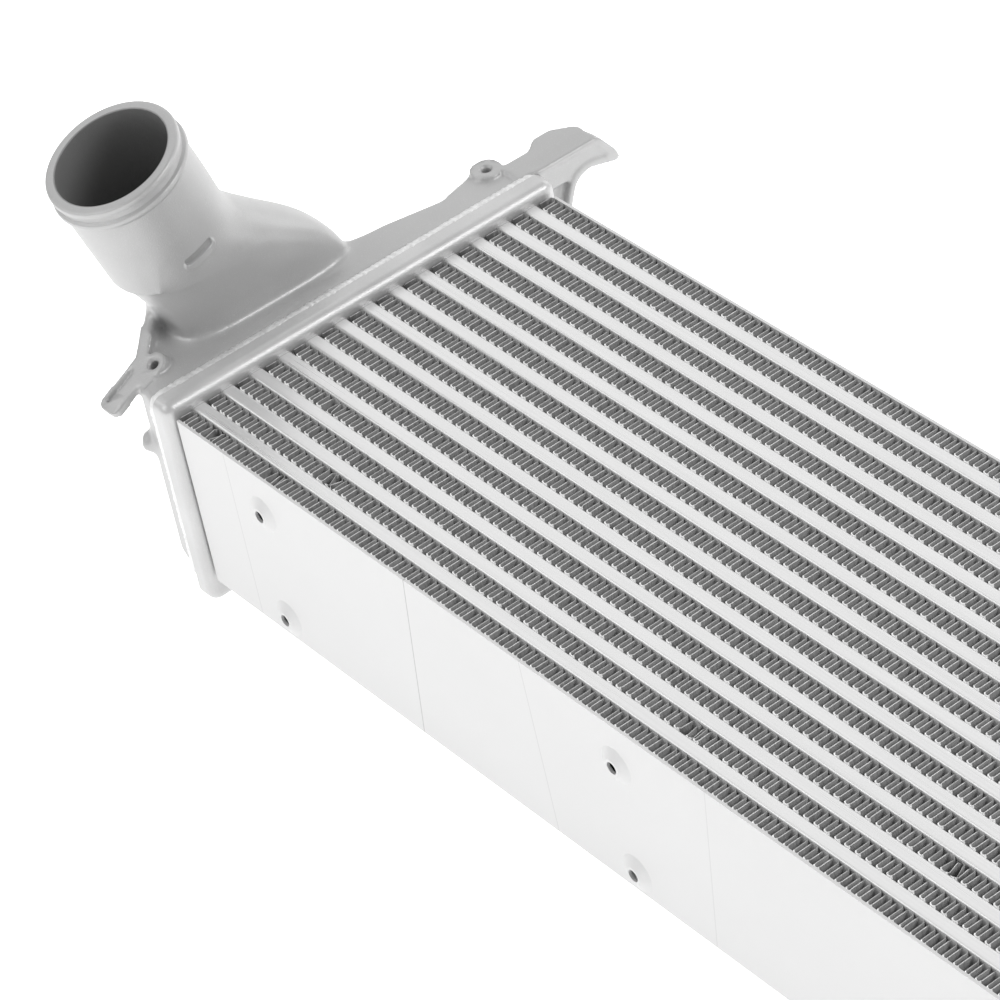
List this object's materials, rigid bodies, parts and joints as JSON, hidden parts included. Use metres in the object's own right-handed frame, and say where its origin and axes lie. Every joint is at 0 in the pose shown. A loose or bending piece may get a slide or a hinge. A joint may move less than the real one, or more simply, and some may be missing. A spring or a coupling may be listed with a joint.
{
  "type": "intercooler",
  "caption": "Brazed aluminium tube and fin charge air cooler with a cast end tank, a tilted beaded hose neck and mounting lugs at each end.",
  "frame": {"origin": "centre of the bounding box's base, level with the bottom of the header pans", "axes": "+X along the tubes towards the outlet tank, +Y across the stack towards the far side plate and the bracket arms, +Z out of the finned face on the side of the hose necks"},
  "size_m": [0.8468, 0.3028, 0.2417],
  "materials": {
    "cast_aluminium": "satin, fine cast grain with a light overspray of aluminium paint",
    "header_aluminium": "satin rolled sheet",
    "weld_aluminium": "rough matt weld bead",
    "plate_aluminium": "satin rolled sheet",
    "tube_aluminium": "satin extruded",
    "turbulator_aluminium": "dull folded foil",
    "fin_aluminium": "dull folded foil with bright edges"
  },
  "bodies": {
    "root": {"inlet_tank": "cast_aluminium", "inlet_header": "header_aluminium", "inlet_weld": "weld_aluminium", "outlet_tank": "cast_aluminium", "outlet_header": "header_aluminium", "outlet_weld": "weld_aluminium", "side_plate_near": "plate_aluminium", "side_plate_far": "plate_aluminium", "tube_01": "tube_aluminium", "tube_02": "tube_aluminium", "tube_03": "tube_aluminium", "tube_04": "tube_aluminium", "tube_05": "tube_aluminium", "tube_06": "tube_aluminium", "tube_07": "tube_aluminium", "tube_08": "tube_aluminium", "tube_09": "tube_aluminium", "tube_10": "tube_aluminium", "tube_11": "tube_aluminium", "tube_12": "tube_aluminium", "tube_13": "tube_aluminium", "turbulator_01": "turbulator_aluminium", "turbulator_02": "turbulator_aluminium", "turbulator_03": "turbulator_aluminium", "turbulator_04": "turbulator_aluminium", "turbulator_05": "turbulator_aluminium", "turbulator_06": "turbulator_aluminium", "turbulator_07": "turbulator_aluminium", "turbulator_08": "turbulator_aluminium", "turbulator_09": "turbulator_aluminium", "turbulator_10": "turbulator_aluminium", "turbulator_11": "turbulator_aluminium", "turbulator_12": "turbulator_aluminium", "turbulator_13": "turbulator_aluminium", "fin_01": "fin_aluminium", "fin_02": "fin_aluminium", "fin_03": "fin_aluminium", "fin_04": "fin_aluminium", "fin_05": "fin_aluminium", "fin_06": "fin_aluminium", "fin_07": "fin_aluminium", "fin_08": "fin_aluminium", "fin_09": "fin_aluminium", "fin_10": "fin_aluminium", "fin_11": "fin_aluminium", "fin_12": "fin_aluminium", "fin_13": "fin_aluminium", "fin_14": "fin_aluminium"}
  },
  "joints": []
}
